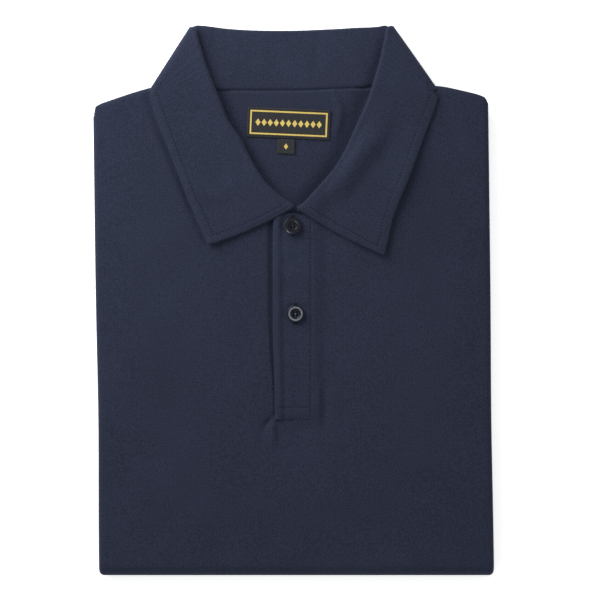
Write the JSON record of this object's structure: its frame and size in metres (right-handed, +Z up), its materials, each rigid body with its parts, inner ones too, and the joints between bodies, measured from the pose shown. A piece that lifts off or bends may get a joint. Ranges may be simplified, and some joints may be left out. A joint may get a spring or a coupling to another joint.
{
  "type": "folded polo shirt",
  "caption": "Short-sleeved jersey polo shirt folded flat and face up, with a soft turn-down collar, a button placket and woven neck labels.",
  "frame": {"origin": "centre of the bounding box's bottom face, on the surface that the folded shirt lies on", "axes": "+X to the viewer's right, +Y from the bottom fold towards the collar, +Z up out of the shirt's face"},
  "size_m": [0.288, 0.3949, 0.0224],
  "materials": {
    "jersey": "matt navy cotton jersey",
    "resin": "polished navy resin",
    "woven": "black woven label"
  },
  "bodies": {
    "root": {"front": "jersey", "back": "jersey", "folded_layers": "jersey", "collar": "jersey", "placket_over": "jersey", "placket_under": "jersey", "button_1": "resin", "button_2": "resin", "label": "woven", "size_label": "woven"}
  },
  "joints": []
}
